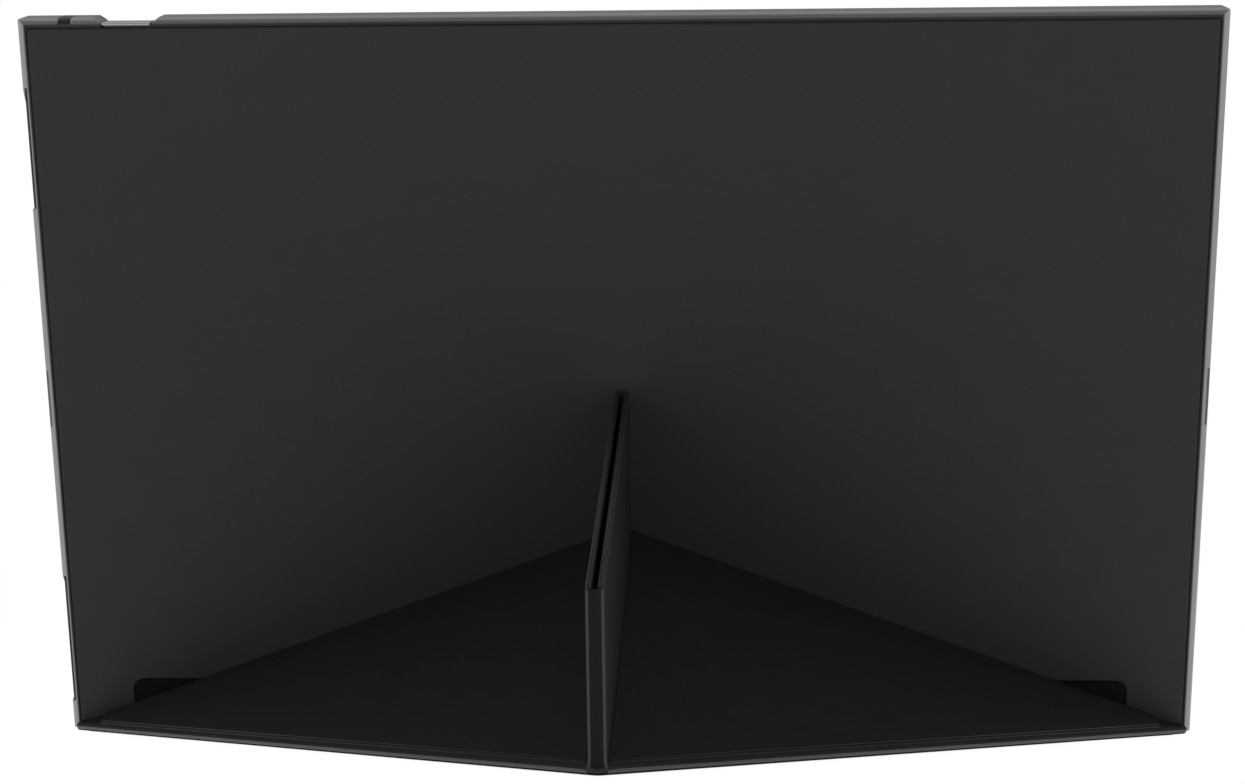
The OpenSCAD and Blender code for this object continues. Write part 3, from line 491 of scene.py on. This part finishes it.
def settle(name, shape, material):
    """Turns a bmesh into an object with soft rounds and crisp corners."""
    crisp = math.radians(50)
    for edge in shape.edges:
        edge.smooth = edge.is_manifold and edge.calc_face_angle() < crisp
    mesh = bpy.data.meshes.new(name)
    shape.to_mesh(mesh)
    shape.free()
    mesh.materials.append(material)
    made = bpy.data.objects.new(name, mesh)
    bpy.context.collection.objects.link(made)
    return made


def layered(name, loop, outward, steps, closeness, material, highlit=()):
    """A closed sheet on an outline, in rings given as inset and height in mm.

    Closeness is each edge's share of the insets. The edges marked as highlit get the painted
    highlight."""
    shape = bmesh.new()
    rings = []
    for gap, height in steps:
        ring = moved_in(loop, outward, [gap * close * mm for close in closeness])
        rings.append([shape.verts.new(p + outward * height * mm) for p in ring])
    shape.faces.new(rings[0][::-1])
    for ring, (low, high) in enumerate(zip(rings, rings[1:])):
        for i in range(len(low)):
            strip = shape.faces.new((low[i - 1], low[i], high[i], high[i - 1]))
            strip.smooth = True
            if highlit and ring < highlight_rings:
                strip.material_index = int(highlit[i - 1])
    shape.faces.new(rings[-1])
    made = settle(name, shape, material)
    if highlit:
        made.data.materials.append(edge_highlight)
    return made


def in_valley(a, b):
    """Whether an edge runs along a crease that folds towards the lining."""
    on_crease = 0.5 * mm
    return any(
        max((p - spot).cross(along).length for p in (a, b)) < on_crease
        for spot, along in valleys
    )


def gets_edge_highlight(panel, a, b):
    """Whether an edge of a panel's lining gets the painted highlight: all of a fin's, a side's at
    its crease.
    """
    crease = Vector(fold["left" if "left" in panel else "right"]["axis"])
    return "fin" in panel or ("side" in panel and abs((b - a).normalized().dot(crease)) > 0.999)


for panel, outward in lining_out.items():
    loop = outer_face(panel + "_lining", outward)
    edges = list(zip(loop, loop[1:] + loop[:1]))
    closeness = [valley_share if in_valley(a, b) else 1 for a, b in edges]
    highlit = [gets_edge_highlight(panel, a, b) for a, b in edges]
    back = [p - outward * cover_t * mm for p in reversed(loop)]
    tray = layered(
        panel + "_leather", back, -outward, fin_tray_steps if "fin" in panel else tray_steps,
        [1] * len(loop), leather,
    )
    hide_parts(panel + "_skin")
    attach(tray, panel)
    sheet = layered(
        panel + "_inner", loop, outward, lining_steps, closeness, lining, highlit
    )
    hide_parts(panel + "_lining")
    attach(sheet, panel)

# Folds: between two panels there is no board, and a binding of smooth leather is bonded round the
# crease in a half-round band. A line low on it, where the band turns to the light, is coloured
# paler as a painted highlight. The part that is turned under is coloured black as painted contact
# shadow.
# Painted highlight: the binding's paler line, where the band faces the light
painted_highlight_binding, *_ = finish(
    "binding_leather_painted_highlight", "#2c2c2c", "#333333", mottle_mm=14, rough=(0.36, 0.46),
    grain_mm=0.3, depth_mm=0.003, **{"IOR": 1.5, "Specular IOR Level": 0.35},
)
# Painted contact shadow: the turned-under part of the binding, near black
painted_shadow_binding, *_ = finish(
    "binding_edge_painted_shadow", "#020202", "#040404", mottle_mm=9, rough=(0.7, 0.8),
    grain_mm=0.3, depth_mm=0.003, **{"IOR": 1.5, "Specular IOR Level": 0.05},
)
fold_rim, fold_inside, fold_steps = 1.42, 0.9, 15
# Strips of the band by finish, upwards round the crease: leather on the end, underside in painted
# contact shadow, a line of painted highlight and lining outside, then leather inside. Round the
# peak only the underside has the painted shadow.
along_fold = [0] + [2] * 5 + [1] * 4 + [3] * 6 + [0] * 16
round_peak = [0] + [2] * 7 + [0] * 24
# The last stations turn the band round the peak, where the fins' foot comes down over it:
# share of the way to the middle, bulge in mm and sweep in degrees
peak_stations = ((0, 0, 140), (0.35, 0.4, 118), (0.7, 0.6, 102), (0.998, 0.65, 95))
before_peak = 2.2
hinge_y = joints["flap_hinge"]["pos_m"][1]
# The soft corners' creases end this far in from the line on which the spine turns
tip_gap = 0.956
spine_y = joints["spine_hinge"]["pos_m"][1] + tip_gap * mm


def swept(name, stations, tones, slot, *finishes):
    """A closed bar through like sections. Each stretch has the finishes of its strips by number."""
    shape = bmesh.new()
    rings = [[shape.verts.new(p) for p in section] for section in stations]
    shape.faces.new(rings[0][::-1])
    for tone, low, high in zip(tones, rings, rings[1:]):
        for i in range(len(low)):
            strip = shape.faces.new((low[i - 1], low[i], high[i], high[i - 1]))
            strip.smooth = True
            strip.material_index = tone[i]
    shape.faces.new(rings[-1])
    bmesh.ops.recalc_face_normals(shape, faces=shape.faces)
    made = settle(name, shape, finishes[0])
    for material in finishes[1:]:
        made.data.materials.append(material)
    return made


def fold_section(centre, outward, sweep):
    """Half-round band about a crease, from straight below it round towards the folded panel."""
    def arc(radius, k):
        angle = sweep * k / fold_steps
        return centre + (outward * math.sin(angle) + down * math.cos(angle)) * radius * mm
    steps = range(fold_steps + 1)
    return [arc(fold_rim, k) for k in steps] + [arc(fold_inside, k) for k in reversed(steps)]


for side, sign in (("left", -1), ("right", 1)):
    pivot = Vector(fold[side]["pos_m"])
    along = Vector(fold[side]["axis"]) * -sign
    outward = Vector((abs(along.y) * sign, abs(along.x), 0))
    corner = pivot + along * (hinge_y - pivot.y) / along.y
    tip = pivot + along * (spine_y - pivot.y) / along.y
    near_peak = pivot - along * before_peak * mm
    peak = [
        (
            pivot + Vector((share * -pivot.x, bulge * mm, 0)),
            outward.lerp(Vector((0, 1, 0)), share).normalized(), math.radians(sweep),
        )
        for share, bulge, sweep in peak_stations
    ]
    for name, route, tones, parent, child in (
        (
            side + "_crease",
            [(corner, outward, folded_by), (near_peak, outward, folded_by), *peak],
            [along_fold] * 2 + [round_peak] * 3, "base", side + "_side",
        ),
        (
            side + "_corner_crease", [(tip, outward, folded_by), (corner, outward, folded_by)],
            [along_fold], "spine", side + "_gusset",
        ),
    ):
        band = swept(
            name, [fold_section(*stop) for stop in route], tones, "cover_leather",
            leather, painted_highlight_binding, painted_shadow_binding, lining,
        )
        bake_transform(band)

# Upright folded edge: leather wraps from one fin to the other in a flat band with rounded
# corners. Each fin carries its half, because the fold opens when the cover lies flat.
# Points in mm: across from the middle, and out from the fins' end towards the eye.
half_band = [
    (2.05, -1.2), (2.26, -1.1), (2.33, -0.85), (2.33, -0.3), (2.27, -0.02), (2.12, 0.2),
    (1.88, 0.34), (1.6, 0.36), (1.2, 0.3), (0.6, 0.28), (0.004, 0.28), (0.004, -0.12),
    (1.6, -0.15), (1.9, -0.35), (1.95, -1.2),
]
# Height up the fold in mm, how far the band flares there, and how far it leans out in mm
flares = (
    (0.6, 1.18, 1.15), (0.9, 1.14, 0.8), (1.3, 1.08, 0.45), (2, 1.03, 0.18), (3.2, 1, 0),
    (46.8, 1, 0), (47, 0.97, 0),
)
# Only what lies further out than this flares, so that the two halves stay joined
flares_beyond = 1
# Strips of the band by finish: leather round the corner, a line of painted highlight and the
# lining's middle
round_band = [0] * 6 + [1] * 2 + [2] * 3 + [0] * 4
foot = Vector((0, pivot.y, pivot.z))
for side, sign in (("left", -1), ("right", 1)):
    stations = [
        [
            foot + climb * rise * mm - forward * (out + lean) * mm
            + Vector((sign * across * mm * (flare if across > flares_beyond else 1), 0, 0))
            for across, out in half_band
        ]
        for rise, flare, lean in flares
    ]
    tones = [round_band] * (len(flares) - 1)
    edge = swept(side + "_fin_edge", stations, tones, "cover_leather", leather, painted_highlight_binding, lining)
    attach(edge, side + "_fin")
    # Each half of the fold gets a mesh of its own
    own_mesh(edge)

# Valley creases: the lining runs on across the folds that close towards it, in a narrow strip
# that is bonded to both panels. It reaches 0.9 mm onto each, between these depths in mm.
depths = (0.1, 0.28)
onto_panel, half_way = 0.9, 0.5
strip_from, strip_to = 1.5, 178
for side, sign in (("left", -1), ("right", 1)):
    bend = Vector(joints[side + "_fin_fold"]["pos_m"])
    fin_out = lining_out[side + "_fin"]
    into_side = forward.cross(side_out[side])
    into_side *= math.copysign(1, into_side.x * sign)
    outer, inner = [
        [
            (into_side * reach - side_out[side] * depth) * mm
            for reach in (onto_panel, half_way, depth)
        ] + [
            (climb * reach - fin_out * depth) * mm
            for reach in (depth, half_way, onto_panel)
        ]
        for depth in depths
    ]
    profile = outer + inner[::-1]
    ends = [bend + forward * reach * mm for reach in (strip_from, strip_to)]
    strip = swept(
        side + "_valley", [[end + p for p in profile] for end in ends], [[0] * len(profile)],
        "cover_lining", lining,
    )
    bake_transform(strip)

# Hinge strip: at the straight hinge the outer leather runs on from the spine to the base, so
# that the closed cover shows no gap there. It is 0.3 mm thick and stops short of the corners.
short_of_corner = 3.5
half_strip = 1.1
strip_profile = (
    (-half_strip, 1.6), (-0.55, 1.58), (0, 1.48), (0.55, 1.58), (half_strip, 1.6),
    (half_strip, 1.3), (0, 1.18), (-half_strip, 1.3),
)
strip_reach = abs(corner.x) - short_of_corner * mm
stations = [
    [Vector((x, hinge_y + y * mm, z * mm)) for y, z in strip_profile]
    for x in (-strip_reach, strip_reach)
]
strip = swept("hinge_strip", stations, [[0] * len(strip_profile)], "cover_leather", leather)
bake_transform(strip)

# Floor: a plain sweep of white paper. It shows white to the camera and in reflections, keeps
# the soft shadow, and lies just under the part so that the two don't touch.
floor_half, floor_drop = 4, 0.05 * mm
floor_shape = bmesh.new()
for x, y in ((-1, -1), (1, -1), (1, 1), (-1, 1)):
    floor_shape.verts.new((x * floor_half, y * floor_half, 0))
floor_shape.faces.new(floor_shape.verts)
floor_mesh = bpy.data.meshes.new("floor")
floor_shape.to_mesh(floor_mesh)
floor_shape.free()
floor = bpy.data.objects.new("floor", floor_mesh)
bpy.context.collection.objects.link(floor)
floor.location.z = -floor_drop
paper = bpy.data.materials.new("white_paper_sweep")
paper.use_nodes = True
tree = paper.node_tree
tree.nodes.clear()
rays = add(tree, "LightPath", {}).outputs
seen = rays["Is Camera Ray"]
for kind in ("Is Glossy Ray", "Is Transmission Ray"):
    seen = add(tree, "Math", {0: seen, 1: rays[kind]}, operation="MAXIMUM").outputs[0]
glow = add(tree, "Emission", {"Color": linear("#ffffff"), "Strength": 1.16}).outputs[0]
matt = add(tree, "BsdfDiffuse", {"Color": linear("#e8e8e8")}).outputs[0]
share = add(tree, "MapRange", {0: seen, 1: 0, 2: 1, 3: 0.5, 4: 0.8}).outputs[0]
sweep = add(tree, "MixShader", {0: share, 1: matt, 2: glow}).outputs[0]
add(tree, "OutputMaterial", {"Surface": sweep})
floor_mesh.materials.append(paper)

# Studio walls: white to the camera. For the part itself they are darker behind the camera, at
# the far end and overhead than at the sides, which shapes the gloss on metal and leather.
world = bpy.data.worlds.new("studio")
bpy.context.scene.world = world
world.use_nodes = True
tree = world.node_tree
tree.nodes.clear()
rays = add(tree, "LightPath", {}).outputs
heading = add(
    tree, "SeparateXYZ", {"Vector": add(tree, "TexCoord", {}).outputs["Generated"]}
).outputs
behind, above, beyond = [
    add(
        tree, "MapRange", {0: heading[axis], 1: low, 2: high, 3: at_low, 4: at_high},
        interpolation_type="SMOOTHSTEP",
    ).outputs[0]
    for axis, low, high, at_low, at_high in (
        (1, 0.1, 0.95, 1.25, 0.2), (2, 0, 1, 1, 0.65), (1, -0.95, -0.2, 0.25, 1),
    )
]
lit = add(tree, "Math", {0: behind, 1: above}, operation="MULTIPLY").outputs[0]
lit = add(tree, "Math", {0: lit, 1: beyond}, operation="MULTIPLY").outputs[0]
strength = add(tree, "Mix", {0: rays["Is Camera Ray"], 2: lit, 3: 1}).outputs[0]
sky = add(tree, "Background", {"Color": linear("#ffffff"), "Strength": strength}).outputs[0]
add(tree, "OutputWorld", {"Surface": sky})

# Lamps: two weak square softboxes to the left and right of the camera, aimed at the middle of
# the part. They lift the rims of the frame a little.
lamp_side, lamp_back, lamp_height, lamp_size, lamp_watts = 1.1, 0.9, 0.5, 0.8, 2
for sign in (-1, 1):
    lamp = bpy.data.lights.new("softbox", "AREA")
    lamp.size = lamp_size
    lamp.energy = lamp_watts
    light = bpy.data.objects.new("softbox", lamp)
    light.location = (sign * lamp_side, lamp_back, lamp_height)
    light.rotation_euler = (aim - light.location).to_track_quat("-Z", "Y").to_euler()
    bpy.context.collection.objects.link(light)

bpy.context.scene.view_settings.view_transform = "Standard"
